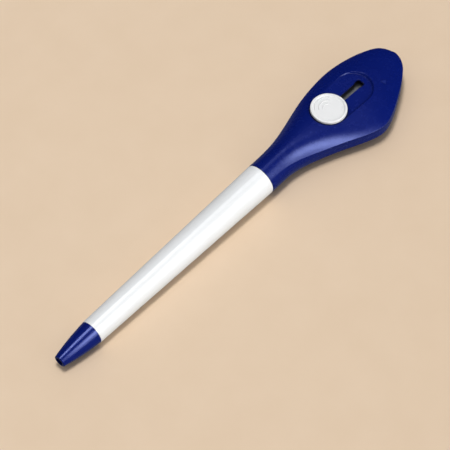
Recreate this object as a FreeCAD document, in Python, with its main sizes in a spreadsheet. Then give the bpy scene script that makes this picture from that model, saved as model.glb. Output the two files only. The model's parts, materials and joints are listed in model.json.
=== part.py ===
"""Letter opener pen: a twist pen whose flat head holds a blade that slides out of its far end.

The pen's own axes are used while modelling: X runs along the pen from the nose to the head, Z is up
through the slide button, and the point's end of the nose is at X = 0. Everything is in millimetres.
At the end each piece is turned and moved together, so that the pen lies on the plane Z = 0 on the
lower line of its tapered barrel and on the flat of the head's back.
"""
import FreeCAD, Part
import math
import os

import Sketcher

os.makedirs("parts", exist_ok=True)
doc = FreeCAD.newDocument("letter_opener_pen")
V = FreeCAD.Vector

# Every size that can be set by itself, in millimetres and degrees.
SIZES = (
    # outside of the pen
    ("nose_length", 13.85),
    ("nose_end_radius", 2.05),
    ("nose_lip", 0.35),
    ("nose_bow", 95),
    ("barrel_length", 75.73),
    ("front_radius", 4.07),
    ("neck_radius", 5.44),
    ("rim", 0.16),
    ("head_length", 65.55),
    ("joint_gap", 0.06),
    # nose and barrel, inside
    ("point_hole_radius", 1.325),
    ("point_hole_length", 4.2),
    ("holder_room_radius", 1.62),
    ("spring_seat", 6.0),
    ("spring_room_radius", 2.36),
    ("nose_thread_radius", 3.15),
    ("nose_thread_length", 7.0),
    ("barrel_bore_radius", 2.95),
    ("barrel_mouth_radius", 4.15),
    ("fixed_fit", 0.02),
    ("running_fit", 0.07),
    # refill
    ("point_setback", 3.0),
    ("ball_radius", 0.35),
    ("ball_shows", 0.25),
    ("point_end_radius", 0.41),
    ("point_taper", 2.2),
    ("point_radius", 1.25),
    ("point_length", 8.5),
    ("point_tail_radius", 0.95),
    ("point_tail_length", 3.4),
    ("holder_length", 6.3),
    ("ink_hole_radius", 0.55),
    ("collar_radius", 2.15),
    ("collar_length", 1.2),
    ("holder_tail_length", 4.0),
    ("refill_radius", 1.5),
    ("refill_bore_radius", 1.0),
    ("ink_space", 6.0),
    # return spring
    ("spring_radius", 1.95),
    ("wire_radius", 0.2),
    ("spring_turns", 9),
    ("spring_gap", 0.08),
    # twist mechanism
    ("feed_travel", 6.0),
    ("sleeve_inset", 3.6),
    ("sleeve_length", 26.0),
    ("sleeve_wall", 0.66),
    ("sleeve_space", 2.0),
    ("lug_setback", 8.0),
    ("lug_radius", 0.7),
    ("lug_clearance", 0.12),
    ("cam_wall", 0.68),
    ("cam_lip_length", 1.0),
    ("cam_lip_height", 0.35),
    ("cam_flange_length", 1.2),
    ("cam_bore_end", 3.5),
    ("washer_thickness", 0.3),
    ("washer_play", 0.04),
    ("stem_radius", 3.0),
    ("stem_flat", 2.3),
    ("stem_length", 9.0),
    ("follower_socket", 6.0),
    ("follower_front", 8.0),
    ("follower_rear", 3.0),
    ("spigot_length", 13.3),
    ("spigot_rib_place", 6.4),
    ("spigot_rib_length", 1.5),
    ("spigot_rib_height", 0.5),
    # head, seen from above
    ("corner_place", 41.2),
    ("corner_reach", 16.15),
    ("bulge_place", 43.9),
    ("bulge_reach", 11.4),
    # head, seen from the side
    ("wall_height", 2.0),
    ("crease_angle", 50.0),
    ("flare_length", 23.0),
    ("deck_height", 5.05),
    ("deck_fall", 2.6),
    ("deck_before", 9.6),
    ("deck_beyond", 7.8),
    ("tip_height", 2.3),
    ("tip_depth", 2.4),
    ("back_flat", 0.22),
    ("shell_wall", 1.5),
    ("cavity_place", 12.6),
    ("tip_solid", 5.8),
    # button, slot and blade
    ("button_place", 32.3),
    ("button_radius", 6.0),
    ("button_top", 1.12),
    ("button_round", 0.3),
    ("button_rim", 0.7),
    ("button_dish", 0.3),
    ("button_lift", 0.1),
    ("grip_radius", 0.16),
    ("grip_arc", 110),
    ("recess_depth", 0.65),
    ("recess_gap", 0.25),
    ("recess_draft", 0.85),
    ("blade_travel", 12.0),
    ("slot_width", 2.4),
    ("slot_spare", 0.4),
    ("slot_entry_length", 2.6),
    ("slot_entry_width", 3.0),
    ("slot_entry_round", 0.8),
    ("post_length", 4.0),
    ("post_clearance", 0.1),
    ("carrier_length", 11.6),
    ("carrier_width", 8.0),
    ("carrier_height", 1.7),
    ("slide_clearance", 0.1),
    ("blade_thickness", 0.6),
    ("blade_half_width", 3.5),
    ("blade_tail", 5.6),
    ("blade_shoulder", 20.7),
    ("blade_point", 31.5),
    ("blade_bow", 19.0),
    ("rivet_radius", 1.0),
    ("rivet_spacing", 7.8),
    ("guide_rib", 1.0),
    ("guide_rib_length", 32.0),
    ("support_rib", 1.2),
    ("support_rib_place", 1.8),
    ("support_rib_length", 32.0),
    ("boss_radius", 1.8),
    ("pin_radius", 0.9),
    ("pin_length", 1.6),
)
sheet = doc.addObject("Spreadsheet::Sheet", "Sizes")
for row, (alias, size) in enumerate(SIZES, start=1):
    sheet.set("A%d" % row, alias)
    sheet.set("B%d" % row, str(size))
    sheet.setAlias("B%d" % row, alias)
doc.recompute()


def number(expression):
    """The value of an expression of the sheet's sizes."""
    return float(sheet.evalExpression(expression))


def bind(piece, **sizes):
    """Bind properties of a piece to expressions of the sheet's sizes."""
    for name, expression in sizes.items():
        piece.setExpression(name, expression)
    return piece


# Places along the pen that several pieces share, as expressions.
BARREL_FRONT = "Sizes.nose_length"
BARREL_REAR = "(Sizes.nose_length + Sizes.barrel_length)"
HEAD_FRONT = "(%s + Sizes.joint_gap)" % BARREL_REAR
HEAD_END = "(%s + Sizes.head_length)" % BARREL_REAR
SLEEVE_REAR = "(%s - Sizes.sleeve_inset)" % BARREL_REAR
SLEEVE_FRONT = "(%s - Sizes.sleeve_length)" % SLEEVE_REAR
LUG_PLACE = "(%s - Sizes.lug_setback)" % SLEEVE_REAR
FLANGE_FRONT = "(%s + Sizes.washer_thickness + 2 * Sizes.washer_play)" % SLEEVE_REAR
FLANGE_REAR = "(%s + Sizes.cam_flange_length)" % FLANGE_FRONT
SLEEVE_BORE = "(Sizes.barrel_mouth_radius - Sizes.sleeve_wall)"
CAM_RADIUS = "(%s - Sizes.running_fit)" % SLEEVE_BORE
CAM_BORE = "(%s - Sizes.cam_wall)" % CAM_RADIUS
HOLDER_FRONT = "(Sizes.point_setback + Sizes.point_length)"
COLLAR_FRONT = "(%s + Sizes.holder_length)" % HOLDER_FRONT
COLLAR_REAR = "(%s + Sizes.collar_length)" % COLLAR_FRONT
TUBE_TAIL = "(%s - Sizes.follower_front + Sizes.follower_socket)" % LUG_PLACE


def profile_sketch(body, name, plane_role, corners, bows=None):
    """A closed outline in a body's sketch; bows gives the radius of each side that is an arc."""
    bows = bows or {}
    sketch = body.newObject("Sketcher::SketchObject", name)
    plane = [face for face in body.Origin.OriginFeatures if face.Role == plane_role][0]
    sketch.AttachmentSupport = [(plane, "")]
    sketch.MapMode = "FlatFace"
    points = [V(number(across), number(up), 0) for across, up in corners]
    starts = []
    for side, (first, last) in enumerate(zip(points, points[1:] + points[:1])):
        if side not in bows:
            sketch.addGeometry(Part.LineSegment(first, last), False)
            starts.append((1, 2))
            continue
        radius = number(bows[side])
        half = (last - first) * 0.5
        rise = abs(radius) - math.sqrt(radius ** 2 - half.Length ** 2)
        outward = V(-half.y, half.x, 0).normalize() * math.copysign(rise, radius)
        arc = Part.Arc(first, first + half + outward, last)
        sketch.addGeometry(arc, False)
        # a sketch counts an arc's ends anticlockwise, and one that bows to the left runs clockwise
        starts.append((2, 1) if radius > 0 else (1, 2))
    for side in range(len(points)):
        after = (side + 1) % len(points)
        meeting = Sketcher.Constraint("Coincident", side, starts[side][1], after, starts[after][0])
        sketch.addConstraint(meeting)
    for side, (across, up) in enumerate(corners):
        for kind, expression in (("DistanceX", across), ("DistanceY", up)):
            place = Sketcher.Constraint(kind, -1, 1, side, starts[side][0], number(expression))
            index = sketch.addConstraint(place)
            if "Sizes" in expression:
                sketch.setExpression("Constraints[%d]" % index, expression)
    for side, expression in bows.items():
        index = sketch.addConstraint(Sketcher.Constraint("Radius", side, abs(number(expression))))
        sketch.setExpression("Constraints[%d]" % index, "abs(%s)" % expression)
    return sketch


def turned(label, corners, bows=None, axis="H_Axis"):
    """A round piece: an outline of (along, radius) corners turned about the pen's axis."""
    body = doc.addObject("PartDesign::Body", label)
    sketch = profile_sketch(body, label + "_profile", "XZ_Plane", corners, bows)
    turn = body.newObject("PartDesign::Revolution", label + "_turn")
    turn.Profile = sketch
    turn.ReferenceAxis = (sketch, [axis])
    turn.Angle = 360
    return body


def place_at(piece, corner):
    """Put a piece at a corner of three expressions; one that holds no size is the origin's own 0."""
    for axis, expression in zip("xyz", corner):
        if "Sizes" in expression:
            piece.setExpression("Placement.Base." + axis, expression)
    return piece


def block(label, low, size):
    """A box from its low corner and its three lengths, all expressions."""
    box = doc.addObject("Part::Box", label)
    bind(box, Length=size[0], Width=size[1], Height=size[2])
    return place_at(box, low)


def rod(label, centre, radius, length):
    """An upright cylinder from the middle of its lower face."""
    cylinder = doc.addObject("Part::Cylinder", label)
    bind(cylinder, Radius=radius, Height=length)
    return place_at(cylinder, centre)


def lying_rod(label, start, radius, length):
    """A cylinder on the pen's axis, from start towards the head."""
    cylinder = doc.addObject("Part::Cylinder", label)
    cylinder.Placement = FreeCAD.Placement(V(0, 0, 0), FreeCAD.Rotation(V(0, 1, 0), 90))
    bind(cylinder, Radius=radius, Height=length)
    cylinder.setExpression("Placement.Base.x", start)
    return cylinder


def fused(label, pieces):
    whole = doc.addObject("Part::MultiFuse", label)
    whole.Shapes = pieces
    return whole


def shared(label, first, second):
    overlap = doc.addObject("Part::Common", label)
    overlap.Base = first
    overlap.Tool = second
    return overlap


def cut(label, base, tool):
    rest = doc.addObject("Part::Cut", label)
    rest.Base = base
    rest.Tool = tool
    return rest


def formed(label, shape):
    """A free form that is set from its own sections."""
    form = doc.addObject("Part::Feature", label)
    form.Shape = shape
    return form


# The nose cone: a moulded bullet with the hole for the point, a seat for the spring and a screw
# spigot that goes into the barrel.
NOSE_REAR = "(Sizes.nose_length + Sizes.nose_thread_length)"
nose_cone = turned(
    "nose_cone",
    [
        ("0", "Sizes.point_hole_radius"),
        ("0", "Sizes.nose_end_radius - Sizes.nose_lip"),
        ("Sizes.nose_lip", "Sizes.nose_end_radius"),
        ("Sizes.nose_length", "Sizes.front_radius - Sizes.joint_gap"),
        ("Sizes.nose_length", "Sizes.nose_thread_radius"),
        (NOSE_REAR, "Sizes.nose_thread_radius"),
        (NOSE_REAR, "Sizes.spring_room_radius"),
        ("Sizes.spring_seat", "Sizes.spring_room_radius"),
        ("Sizes.spring_seat", "Sizes.holder_room_radius"),
        ("Sizes.point_hole_length", "Sizes.holder_room_radius"),
        ("Sizes.point_hole_length", "Sizes.point_hole_radius"),
    ],
    bows={1: "Sizes.nose_lip", 2: "Sizes.nose_bow"},
)

# The barrel: one tapered tube, with a threaded socket in front and a wider mouth behind.
MOUTH_START = "(%s - Sizes.sleeve_space)" % SLEEVE_FRONT
SOCKET_RADIUS = "(Sizes.nose_thread_radius + Sizes.fixed_fit)"
SOCKET_END = "(%s + Sizes.joint_gap)" % NOSE_REAR
barrel = turned(
    "barrel",
    [
        (BARREL_FRONT, SOCKET_RADIUS),
        (BARREL_FRONT, "Sizes.front_radius - Sizes.rim"),
        (BARREL_FRONT + " + Sizes.rim", "Sizes.front_radius"),
        (BARREL_REAR + " - Sizes.rim", "Sizes.neck_radius"),
        (BARREL_REAR, "Sizes.neck_radius - Sizes.rim"),
        (BARREL_REAR, "Sizes.barrel_mouth_radius"),
        (MOUTH_START, "Sizes.barrel_mouth_radius"),
        (MOUTH_START, "Sizes.barrel_bore_radius"),
        (SOCKET_END, "Sizes.barrel_bore_radius"),
        (SOCKET_END, SOCKET_RADIUS),
    ],
    bows={1: "Sizes.rim", 3: "Sizes.rim"},
)

# The refill: a steel ball in a turned brass point, its holder with a collar for the spring, the
# plastic tube and the ink in it.
writing_ball = turned(
    "writing_ball",
    [
        ("Sizes.point_setback", "0"),
        ("Sizes.point_setback + Sizes.ball_radius", "Sizes.ball_radius"),
        ("Sizes.point_setback + 2 * Sizes.ball_radius", "0"),
    ],
    bows={0: "Sizes.ball_radius", 1: "Sizes.ball_radius"},
)
ball_seat = bind(doc.addObject("Part::Sphere", "ball_seat"), Radius="Sizes.ball_radius + Sizes.fixed_fit / 2")
place_at(ball_seat, ("Sizes.point_setback + Sizes.ball_radius", "0", "0"))
POINT_FRONT = "(Sizes.point_setback + Sizes.ball_shows)"
point_blank = turned(
    "point_blank",
    [
        (POINT_FRONT, "0"),
        (POINT_FRONT, "Sizes.point_end_radius"),
        (POINT_FRONT + " + Sizes.point_taper", "Sizes.point_radius"),
        (HOLDER_FRONT, "Sizes.point_radius"),
        (HOLDER_FRONT, "Sizes.point_tail_radius"),
        (HOLDER_FRONT + " + Sizes.point_tail_length", "Sizes.point_tail_radius"),
        (HOLDER_FRONT + " + Sizes.point_tail_length", "0"),
    ],
)
refill_tip = cut("refill_tip", point_blank, ball_seat)
TIP_SEAT_END = "(%s + Sizes.point_tail_length)" % HOLDER_FRONT
HOLDER_END = "(%s + Sizes.holder_tail_length)" % COLLAR_REAR
tip_holder = turned(
    "tip_holder",
    [
        (HOLDER_FRONT, "Sizes.point_tail_radius"),
        (HOLDER_FRONT, "Sizes.refill_radius"),
        (COLLAR_FRONT, "Sizes.refill_radius"),
        (COLLAR_FRONT, "Sizes.collar_radius"),
        (COLLAR_REAR, "Sizes.collar_radius"),
        (COLLAR_REAR, "Sizes.refill_bore_radius"),
        (HOLDER_END, "Sizes.refill_bore_radius"),
        (HOLDER_END, "Sizes.ink_hole_radius"),
        (TIP_SEAT_END, "Sizes.ink_hole_radius"),
        (TIP_SEAT_END, "Sizes.point_tail_radius"),
    ],
)
refill_tube = turned(
    "refill_tube",
    [
        (COLLAR_REAR, "Sizes.refill_bore_radius"),
        (COLLAR_REAR, "Sizes.refill_radius"),
        (TUBE_TAIL, "Sizes.refill_radius"),
        (TUBE_TAIL, "Sizes.refill_bore_radius"),
    ],
)
INK_END = "(%s - Sizes.ink_space)" % TUBE_TAIL
ink_column = turned(
    "ink_column",
    [
        (HOLDER_END, "0"),
        (HOLDER_END, "Sizes.refill_bore_radius"),
        (INK_END, "Sizes.refill_bore_radius"),
        (INK_END, "0"),
    ],
)


def turned_wire(side):
    """A corner of the spring wire's six-sided section, from its middle."""
    angle = side * math.pi / 3
    return V(math.cos(angle), 0, math.sin(angle)) * sheet.wire_radius


def spring_coil():
    """A round wire wound from the nose's seat to the refill's collar."""
    start = number("Sizes.spring_seat + Sizes.spring_gap + Sizes.wire_radius")
    end = number(COLLAR_FRONT + " - Sizes.spring_gap - Sizes.wire_radius")
    radius = sheet.spring_radius
    path = Part.makeHelix((end - start) / sheet.spring_turns, end - start, radius)
    # the wire's section has six sides, few enough for so small a piece
    corners = [V(radius, 0, 0) + turned_wire(side) for side in range(7)]
    coil = Part.Wire(path).makePipeShell([Part.makePolygon(corners)], True, True)
    coil.rotate(V(0, 0, 0), V(0, 1, 0), 90)
    coil.translate(V(start, 0, 0))
    return coil


return_spring = formed("return_spring", spring_coil())

# The twist mechanism: a sleeve fixed in the barrel with two straight slots, a cam tube that turns
# with the head and has two helical slots, and a follower whose lugs run in both.
sleeve_blank = turned(
    "sleeve_blank",
    [
        (SLEEVE_FRONT, SLEEVE_BORE),
        (SLEEVE_FRONT, "Sizes.barrel_mouth_radius"),
        (SLEEVE_REAR, "Sizes.barrel_mouth_radius"),
        (SLEEVE_REAR, SLEEVE_BORE),
    ],
)
LUG_ROOM = "(Sizes.lug_radius + Sizes.lug_clearance)"
sleeve_slots = block(
    "sleeve_slots",
    ("%s - Sizes.feed_travel - %s" % (LUG_PLACE, LUG_ROOM), "-" + LUG_ROOM, "-2 * Sizes.barrel_mouth_radius"),
    ("Sizes.feed_travel + 2 * " + LUG_ROOM, "2 * " + LUG_ROOM, "4 * Sizes.barrel_mouth_radius"),
)
guide_sleeve = cut("guide_sleeve", sleeve_blank, sleeve_slots)

washer = [
    ("%s + Sizes.washer_play" % SLEEVE_REAR, SLEEVE_BORE),
    ("%s + Sizes.washer_play" % SLEEVE_REAR, "Sizes.barrel_mouth_radius"),
    ("%s + Sizes.washer_play + Sizes.washer_thickness" % SLEEVE_REAR, "Sizes.barrel_mouth_radius"),
    ("%s + Sizes.washer_play + Sizes.washer_thickness" % SLEEVE_REAR, SLEEVE_BORE),
]
twist_washer = turned("twist_washer", washer)

CAM_LIP_REAR = "(%s - Sizes.washer_play)" % SLEEVE_FRONT
CAM_FRONT = "(%s - Sizes.cam_lip_length)" % CAM_LIP_REAR
CAM_LIP_RADIUS = "(%s + Sizes.cam_lip_height)" % CAM_RADIUS
FLANGE_RADIUS = "(Sizes.barrel_mouth_radius - Sizes.running_fit)"
STEM_END = "(%s + Sizes.stem_length)" % FLANGE_REAR
CAM_BORE_END = "(%s - Sizes.cam_bore_end)" % FLANGE_FRONT
cam_blank = turned(
    "cam_blank",
    [
        (CAM_FRONT, CAM_BORE),
        (CAM_FRONT, CAM_LIP_RADIUS),
        (CAM_LIP_REAR, CAM_LIP_RADIUS),
        (CAM_LIP_REAR, CAM_RADIUS),
        (FLANGE_FRONT, CAM_RADIUS),
        (FLANGE_FRONT, FLANGE_RADIUS),
        (FLANGE_REAR, FLANGE_RADIUS),
        (FLANGE_REAR, "Sizes.stem_radius"),
        (STEM_END, "Sizes.stem_radius"),
        (STEM_END, "0"),
        (CAM_BORE_END, "0"),
        (CAM_BORE_END, CAM_BORE),
    ],
)


def helical_slot(turned_by):
    """The way of one lug through the cam tube: half a turn along the feed, and room at both ends."""
    radius = number("(%s + %s) / 2" % (CAM_RADIUS, CAM_BORE))
    rise = sheet.feed_travel / math.pi
    half_width = number(LUG_ROOM)
    spare = half_width / math.hypot(radius, rise)
    turn = math.pi + 2 * spare
    path = Part.makeHelix(2 * sheet.feed_travel, turn * rise, radius)
    along = V(0, radius, rise).normalize()
    across = along.cross(V(1, 0, 0)).normalize() * half_width
    inner = V(radius - 2 * sheet.cam_wall, 0, 0)
    outer = V(radius + 2 * sheet.cam_wall, 0, 0)
    corners = [inner - across, outer - across, outer + across, inner + across, inner - across]
    way = Part.Wire(path).makePipeShell([Part.makePolygon(corners)], True, True)
    # the helix's start is below the axis once it lies along the pen; the lug rests at its far end
    way.rotate(V(0, 0, 0), V(0, 1, 0), 90)
    way.rotate(V(0, 0, 0), V(1, 0, 0), turned_by - math.degrees(turn - spare))
    way.translate(V(number(LUG_PLACE) - sheet.feed_travel - spare * rise, 0, 0))
    return way


cam_slots = fused("cam_slots", [formed("cam_slot_%d" % side, helical_slot(180 * side)) for side in (0, 1)])
stem_flats = [
    block(
        "stem_flat_%d" % (side + 1),
        (FLANGE_REAR, "-2 * Sizes.stem_radius", low),
        ("Sizes.stem_length * 2", "4 * Sizes.stem_radius", "Sizes.stem_radius"),
    )
    for side, low in enumerate(("Sizes.stem_flat", "-Sizes.stem_flat - Sizes.stem_radius"))
]
cam_tube = cut("cam_tube", cam_blank, fused("cam_cuts", [cam_slots] + stem_flats))

FOLLOWER_RADIUS = "(%s - Sizes.running_fit)" % CAM_BORE
FOLLOWER_FRONT = "(%s - Sizes.follower_front)" % LUG_PLACE
FOLLOWER_REAR = "(%s + Sizes.follower_rear)" % LUG_PLACE
follower_blank = turned(
    "follower_blank",
    [
        (FOLLOWER_FRONT, "Sizes.refill_radius"),
        (FOLLOWER_FRONT, FOLLOWER_RADIUS),
        (FOLLOWER_REAR, FOLLOWER_RADIUS),
        (FOLLOWER_REAR, "0"),
        (TUBE_TAIL, "0"),
        (TUBE_TAIL, "Sizes.refill_radius"),
    ],
)
LUG_REACH = "(Sizes.barrel_mouth_radius - 2 * Sizes.lug_clearance)"
lugs = rod("lugs", (LUG_PLACE, "0", "-" + LUG_REACH), "Sizes.lug_radius", "2 * " + LUG_REACH)
cam_follower = fused("cam_follower", [follower_blank, lugs])

# The neck spigot: it joins the cam tube's stem to the head and is the head's bearing in the barrel.
SPIGOT_RADIUS = "(Sizes.barrel_mouth_radius - Sizes.running_fit)"
SPIGOT_END = "(%s + Sizes.spigot_length)" % FLANGE_REAR
RIB_FRONT = "(%s + Sizes.spigot_rib_place)" % FLANGE_REAR
RIB_REAR = "(%s + Sizes.spigot_rib_length)" % RIB_FRONT
RIB_RADIUS = "(%s + Sizes.spigot_rib_height)" % SPIGOT_RADIUS
spigot_blank = turned(
    "spigot_blank",
    [
        (FLANGE_REAR, "0"),
        (FLANGE_REAR, SPIGOT_RADIUS),
        (RIB_FRONT, SPIGOT_RADIUS),
        (RIB_FRONT, RIB_RADIUS),
        (RIB_REAR, RIB_RADIUS),
        (RIB_REAR, SPIGOT_RADIUS),
        (SPIGOT_END, SPIGOT_RADIUS),
        (SPIGOT_END, "0"),
    ],
)
stem_room = lying_rod(
    "stem_room", FLANGE_REAR, "Sizes.stem_radius + Sizes.fixed_fit", "Sizes.stem_length + Sizes.fixed_fit"
)
stem_room_flats = block(
    "stem_room_flats",
    (FLANGE_REAR, "-2 * Sizes.stem_radius", "-Sizes.stem_flat - Sizes.fixed_fit"),
    ("2 * Sizes.stem_length", "4 * Sizes.stem_radius", "2 * (Sizes.stem_flat + Sizes.fixed_fit)"),
)
neck_spigot = cut("neck_spigot", spigot_blank, shared("stem_hole", stem_room, stem_room_flats))

# The head's outline from above is two curves: the right side runs out to a corner, the left side to
# a round bulge, and both end in the rounded tip. Each pair is a share of the way along and of the
# rise from the neck, then a share of the way to the tip and of the reach.
RIGHT_FLARE = ((0.27, 0.025), (0.436, 0.185), (0.683, 0.565), (0.905, 0.93))
RIGHT_CLOSE = ((0.154, 0.957), (0.487, 0.727), (0.709, 0.536), (0.795, 0.449), (0.881, 0.345))
RIGHT_CLOSE += ((0.947, 0.228), (0.988, 0.108))
LEFT_FLARE = ((0.276, 0.09), (0.426, 0.287), (0.684, 0.765), (0.855, 0.95))
LEFT_CLOSE = ((0.377, 0.904), (0.595, 0.789), (0.764, 0.655), (0.866, 0.545), (0.933, 0.412))
LEFT_CLOSE += ((0.972, 0.27), (0.992, 0.144))
head_front = number(HEAD_FRONT)
head_end = number(HEAD_END)
button_along = number(HEAD_FRONT + " + Sizes.button_place")
rest_slope = (sheet.neck_radius - sheet.front_radius) / sheet.barrel_length
deck_slope = math.tan(math.radians(sheet.deck_fall))


def mixed(first, second, share):
    return first + (second - first) * share


def smooth_line(points, first, last):
    """A smooth curve through (along, across) points with the directions of its two ends."""
    curve = Part.BSplineCurve()
    curve.interpolate(
        Points=[V(along, across, 0) for along, across in points],
        InitialTangent=V(first[0], first[1], 0),
        FinalTangent=V(last[0], last[1], 0),
    )
    return curve


def height_at(curve, along, end=None):
    """The curve's second coordinate where its first one is along, sought up to the point end."""
    low, high = curve.FirstParameter, curve.parameter(end) if end else curve.LastParameter
    for _ in range(48):
        middle = (low + high) / 2
        if curve.value(middle).x < along:
            low = middle
        else:
            high = middle
    return curve.value(low).y


def side_line(place, reach, flare, close):
    """One side of the head from above, from the neck round the tip to its mirror image."""
    neck = sheet.neck_radius
    peak = head_front + place
    points = [(head_front, neck)]
    points += [(head_front + along * place, neck + rise * (reach - neck)) for along, rise in flare]
    points += [(peak, reach)]
    points += [(peak + along * (head_end - peak), share * reach) for along, share in close]
    points += [(head_end, 0), (points[-1][0], -points[-1][1])]
    return smooth_line(points, (1, 0), (-1, -1))


def reach_at(side, along):
    """How far the head reaches to one side of the pen's axis."""
    return height_at(side, along, V(head_end, 0, 0))


def deck(along):
    """The height of the crown over the pen's axis where the slide button runs."""
    return sheet.deck_height - (along - button_along) * deck_slope


def table(along):
    """The depth below the axis of the surface that the pen lies on."""
    return sheet.neck_radius + (along - number(BARREL_REAR)) * rest_slope


right_side = side_line(sheet.corner_place, sheet.corner_reach, RIGHT_FLARE, RIGHT_CLOSE)
left_side = side_line(sheet.bulge_place, sheet.bulge_reach, LEFT_FLARE, LEFT_CLOSE)
deck_start = button_along - sheet.deck_before
deck_end = button_along + sheet.blade_travel + sheet.deck_beyond
# halfway from the deck's end to the tip, the back has risen by this share
BACK_RISE = 0.38
crown_line = smooth_line(
    [
        (head_front, sheet.neck_radius),
        (deck_start, deck(deck_start)),
        (button_along, deck(button_along)),
        (deck_end, deck(deck_end)),
        ((deck_end + head_end) / 2, (deck(deck_end) + sheet.tip_height) / 2 + sheet.back_flat),
        (head_end, sheet.tip_height),
    ],
    (1, 0),
    (1, -0.3),
)
back_line = smooth_line(
    [
        (head_front, sheet.neck_radius),
        (deck_start, table(deck_start) + sheet.back_flat),
        (button_along, table(button_along) + sheet.back_flat),
        (deck_end, table(deck_end) + sheet.back_flat),
        ((deck_end + head_end) / 2, mixed(table(deck_end), sheet.tip_depth, BACK_RISE)),
        (head_end, sheet.tip_depth),
    ],
    (1, rest_slope),
    (1, -0.8),
)


def curve_edge(points):
    curve = Part.BezierCurve()
    curve.setPoles(points)
    return curve.toShape()


# The crown stays level over half its width, and bends down at 4/5 of it. At the tip the wall is at
# most 4/5 of the section's height.
CROWN_LEVEL = 0.5
CROWN_BEND = 0.8
WALL_SHARE = 0.8


def half_section(along, reach, height, inset, up):
    """The poles of one side of a section: the crown from its middle to the crease, then the wall.

    At the neck they follow a circle, whose crease is only a point at the crease angle from the top.
    Over the flare they turn into a crown over an upright wall. reach is signed: positive is the left.
    """
    neck = sheet.neck_radius
    turn = math.radians(sheet.crease_angle)
    share = min(max((along - head_front) / sheet.flare_length, 0), 1)
    share = share * share * (3 - 2 * share)
    side = math.copysign(1, reach)
    width = abs(reach) - inset
    top = height - inset
    wall = mixed(neck * math.cos(turn), sheet.wall_height, share) - inset / 2
    crease = width - mixed(neck * (1 - math.sin(turn)), 0, share)
    wall = min(wall, WALL_SHARE * top)
    arc = 4 / 3 * math.tan(turn / 4) * neck
    side_arc = 4 / 3 * math.tan((math.pi / 2 - turn) / 4) * neck
    crown = [
        (0, top),
        (mixed(arc, CROWN_LEVEL * crease, share), top),
        (
            mixed(crease - arc * math.cos(turn), CROWN_BEND * crease, share),
            mixed(wall + arc * math.sin(turn), wall + 0.5 * (top - wall), share),
        ),
        (crease, wall),
    ]
    flank = [
        (crease, wall),
        (
            mixed(crease + side_arc * math.cos(turn), crease, share),
            mixed(wall - side_arc * math.sin(turn), wall * 2 / 3, share),
        ),
        (width, mixed(side_arc, wall / 3, share)),
        (width, 0),
    ]
    return [[V(along, side * across, up * rise) for across, rise in part] for part in (crown, flank)]


def head_section(along, inset, up):
    """A closed section across the head, above the parting plane (up = 1) or below it (up = -1)."""
    height = height_at(crown_line if up > 0 else back_line, along)
    left = half_section(along, reach_at(left_side, along), height, inset, up)
    right = half_section(along, -reach_at(right_side, along), height, inset, up)
    edges = [
        curve_edge(left[1][::-1]),
        curve_edge(left[0][::-1]),
        curve_edge(right[0]),
        curve_edge(right[1]),
        Part.makeLine(right[1][-1], left[1][-1]),
    ]
    return Part.Wire(edges)


def head_form(stations, inset, up):
    return Part.makeLoft([head_section(along, inset, up) for along in stations], True, False)


def spaced(first, last, count):
    return [first + (last - first) * step / (count - 1) for step in range(count)]


corner_along = head_front + sheet.corner_place
# Sections stand close together at the corner and at the tip, where the outline turns fast.
FLARE_SECTIONS = 9
CORNER_STEPS = (-6, -3, -1, 1, 3)
TIP_SHARES = (0.12, 0.28, 0.46, 0.62, 0.76, 0.87, 0.94, 0.98, 0.997)
CAVITY_SECTIONS = 14
outer_stations = spaced(head_front, corner_along + CORNER_STEPS[0], FLARE_SECTIONS)
outer_stations += [corner_along + step for step in CORNER_STEPS[1:]]
outer_stations += [mixed(corner_along + CORNER_STEPS[-1], head_end, share) for share in TIP_SHARES]
cavity_start = head_front + sheet.cavity_place
inner_stations = spaced(cavity_start, head_end - sheet.tip_solid, CAVITY_SECTIONS)
top_form = formed("top_form", head_form(outer_stations, 0, 1))
back_form = formed("back_form", head_form(outer_stations, 0, -1))
top_cavity = formed("top_cavity", head_form(inner_stations, sheet.shell_wall, 1))
back_cavity = formed("back_cavity", head_form(inner_stations, sheet.shell_wall, -1))

# The neck's bore holds the spigot and its rib.
NECK_BORE = "(%s + Sizes.fixed_fit)" % SPIGOT_RADIUS
neck_bore = lying_rod("neck_bore", HEAD_FRONT, NECK_BORE, "Sizes.cavity_place + Sizes.shell_wall")
rib_groove = lying_rod(
    "rib_groove",
    RIB_FRONT + " - Sizes.fixed_fit",
    RIB_RADIUS + " + Sizes.fixed_fit",
    "Sizes.spigot_rib_length + 2 * Sizes.fixed_fit",
)

# The deck: X runs along the button's way, Z stands up from the recess's floor, and the button's
# middle is at X = 0. Its pieces are modelled there and then placed.
deck_place = FreeCAD.Placement(
    V(button_along, 0, sheet.deck_height - sheet.recess_depth),
    FreeCAD.Rotation(V(0, 1, 0), sheet.deck_fall),
)
RECESS_RADIUS = "(Sizes.button_radius + Sizes.recess_gap)"
SLOT_START = "(-Sizes.post_length / 2 - Sizes.slot_spare)"
ENTRY_START = "(Sizes.blade_travel + Sizes.post_length / 2 - Sizes.slot_spare)"
ROOF = "(Sizes.recess_depth - Sizes.shell_wall)"
CARRIER_TOP = "(%s - Sizes.slide_clearance)" % ROOF
BLADE_TOP = "(%s - Sizes.carrier_height)" % CARRIER_TOP
BLADE_UNDER = "(%s - Sizes.blade_thickness)" % BLADE_TOP
SUPPORT_TOP = "(%s - Sizes.slide_clearance)" % BLADE_UNDER
MOUTH_HALF = "(Sizes.blade_half_width + 2 * Sizes.slide_clearance)"
RECESS_TOP = "(%s + Sizes.deck_height * Sizes.recess_draft)" % RECESS_RADIUS


def drafted_round(label, along):
    """One round end of the recess, whose wall leans outwards."""
    cone = doc.addObject("Part::Cone", label)
    bind(cone, Radius1=RECESS_RADIUS, Radius2=RECESS_TOP, Height="Sizes.deck_height")
    return place_at(cone, (along, "0", "0"))


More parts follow.
